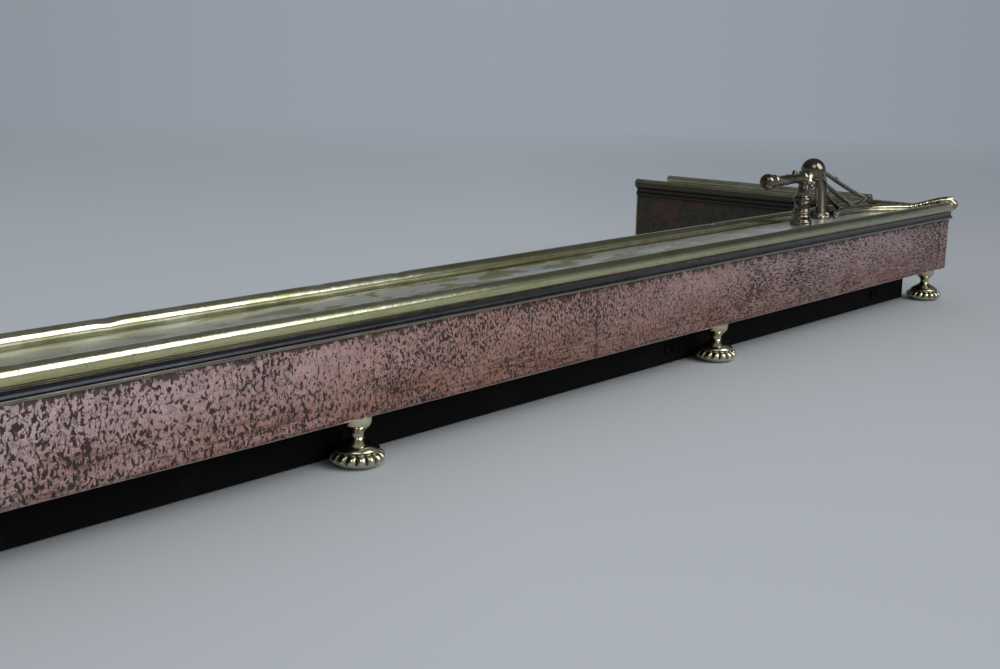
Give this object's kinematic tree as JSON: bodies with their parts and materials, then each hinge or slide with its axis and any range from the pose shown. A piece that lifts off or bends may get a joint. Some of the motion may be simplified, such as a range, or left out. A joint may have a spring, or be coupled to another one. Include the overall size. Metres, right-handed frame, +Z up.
{
  "type": "fire fender",
  "caption": "Low copper-fronted fire fender with a rolled brass top rail, cast brass feet and a fire-iron rest at each front corner.",
  "frame": {"origin": "on the floor under the middle of the fender's bounding box", "axes": "+X along the front towards the right return, +Y from the front face back towards the fire, +Z up"},
  "size_m": [1.669, 0.3515, 0.153],
  "materials": {
    "brass": "polished, tarnished in the recesses",
    "copper": "hammered, dark patina in the hollows",
    "iron": "blackened sheet with rust",
    "steel": "dull"
  },
  "bodies": {
    "root": {"front_plinth": "iron", "left_plinth": "iron", "right_plinth": "iron", "front_inner_wall": "iron", "left_inner_wall": "iron", "right_inner_wall": "iron", "left_wall_angle": "iron", "right_wall_angle": "iron", "left_plinth_angle": "iron", "right_plinth_angle": "iron", "front_core_strip": "iron", "left_core_strip": "iron", "right_core_strip": "iron", "front_copper_skirt": "copper", "left_copper_skirt": "copper", "right_copper_skirt": "copper", "front_top_rail": "brass", "left_top_rail": "brass", "right_top_rail": "brass", "left_end_plate": "brass", "right_end_plate": "brass", "front_left_corner_foot": "brass", "front_left_foot": "brass", "front_middle_foot": "brass", "front_right_foot": "brass", "front_right_corner_foot": "brass", "rear_left_foot": "brass", "rear_right_foot": "brass", "front_left_corner_bracket": "iron", "front_left_bracket": "iron", "front_middle_bracket": "iron", "front_right_bracket": "iron", "front_right_corner_bracket": "iron", "rear_left_bracket": "iron", "rear_right_bracket": "iron", "front_left_outer_tie": "iron", "front_left_tie": "iron", "front_middle_tie": "iron", "front_right_tie": "iron", "front_right_outer_tie": "iron", "rear_left_tie": "iron", "rear_right_tie": "iron", "left_corner_casting": "brass", "right_corner_casting": "brass", "left_rest_post": "brass", "right_rest_post": "brass", "left_rest_arm": "brass", "right_rest_arm": "brass", "left_rest_fan": "brass", "right_rest_fan": "brass", "foot_studs": "steel", "foot_nuts": "steel", "rest_studs": "steel", "rest_nuts": "steel", "corner_screws": "brass", "strip_rivets": "iron", "bracket_rivets": "iron", "tie_rivets": "iron", "angle_rivets": "iron"}
  },
  "joints": []
}
